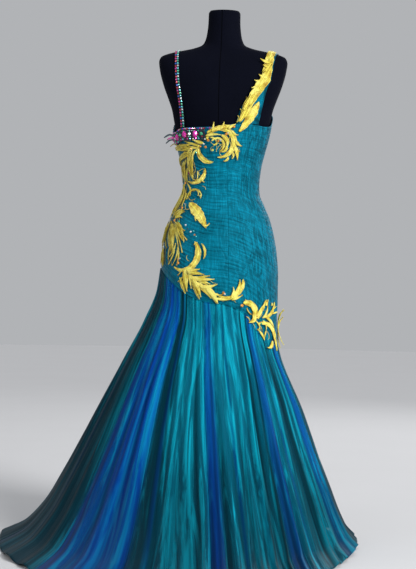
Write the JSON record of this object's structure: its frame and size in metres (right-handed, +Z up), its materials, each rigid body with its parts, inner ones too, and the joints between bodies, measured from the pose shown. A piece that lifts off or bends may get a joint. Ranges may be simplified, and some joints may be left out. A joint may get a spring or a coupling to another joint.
{
  "type": "mermaid prom dress on dress form",
  "caption": "Fitted ruched gown with a slanted hip seam, gathered flared skirt and train, one narrow and one wide strap and leaf appliqué, on a limbless dress form with a round base.",
  "frame": {"origin": "centre of the stand's base, on the floor", "axes": "+Z up, +X towards the wearer's right, +Y towards the wearer's front, so the back of the dress faces -Y"},
  "size_m": [1.0426, 1.1654, 1.53],
  "materials": {
    "bodice_teal": "crinkled satin chiffon",
    "tulle_teal": "sheer net over taffeta",
    "tulle_blue": "sheer net over taffeta",
    "lining_teal": "crinkled taffeta",
    "gold_applique": "metallic embroidery",
    "jewel_band": "beaded with glass stones",
    "form_cloth": "matt jersey cover",
    "stand_metal": "satin black paint"
  },
  "bodies": {
    "root": {"applique_breast_curl": "gold_applique", "applique_breast_leaf": "gold_applique", "applique_breast_leaf_low": "gold_applique", "applique_crescent_lower": "gold_applique", "applique_crescent_twin": "gold_applique", "applique_crescent_upper": "gold_applique", "applique_fan_leaf_inner": "gold_applique", "applique_fan_leaf_middle": "gold_applique", "applique_fan_leaf_outer": "gold_applique", "applique_fan_leaf_rising": "gold_applique", "applique_hip_leaf": "gold_applique", "applique_neck_frond": "gold_applique", "applique_neck_inner_scroll": "gold_applique", "applique_neck_scroll": "gold_applique", "applique_seam_stem": "gold_applique", "applique_side_leaf_edge": "gold_applique", "applique_side_leaf_hook": "gold_applique", "applique_side_leaf_long": "gold_applique", "applique_side_leaf_low": "gold_applique", "applique_side_leaf_slim": "gold_applique", "applique_side_scroll": "gold_applique", "applique_spray_leaf_first": "gold_applique", "applique_spray_leaf_long": "gold_applique", "applique_spray_leaf_right": "gold_applique", "applique_spray_leaf_second": "gold_applique", "applique_spray_leaf_third": "gold_applique", "applique_strap_frond": "gold_applique", "applique_strap_leaf": "gold_applique", "applique_vine_leaf_outer": "gold_applique", "applique_vine_leaf_upper": "gold_applique", "applique_vine_scroll": "gold_applique", "applique_vine_stem": "gold_applique", "applique_waist_leaf": "gold_applique", "bodice_back_left": "bodice_teal", "bodice_back_right": "bodice_teal", "bodice_front_left": "bodice_teal", "bodice_front_right": "bodice_teal", "form_torso": "form_cloth", "lining_back": "lining_teal", "lining_front": "lining_teal", "neckline_band": "jewel_band", "skirt_back_blue": "tulle_blue", "skirt_back_left_teal": "tulle_teal", "skirt_back_teal": "tulle_teal", "skirt_front_blue": "tulle_blue", "skirt_front_left_blue": "tulle_blue", "skirt_front_teal": "tulle_teal", "skirt_left_back_blue": "tulle_blue", "skirt_left_front_teal": "tulle_teal", "skirt_left_teal": "tulle_teal", "skirt_right_back_blue": "tulle_blue", "skirt_right_back_teal": "tulle_teal", "skirt_right_blue": "tulle_blue", "skirt_right_front_teal": "tulle_teal", "stand_base": "stand_metal", "stand_pole": "stand_metal", "strap_left_back": "jewel_band", "strap_left_front": "jewel_band", "strap_right_back": "bodice_teal", "strap_right_front": "bodice_teal"}
  },
  "joints": []
}
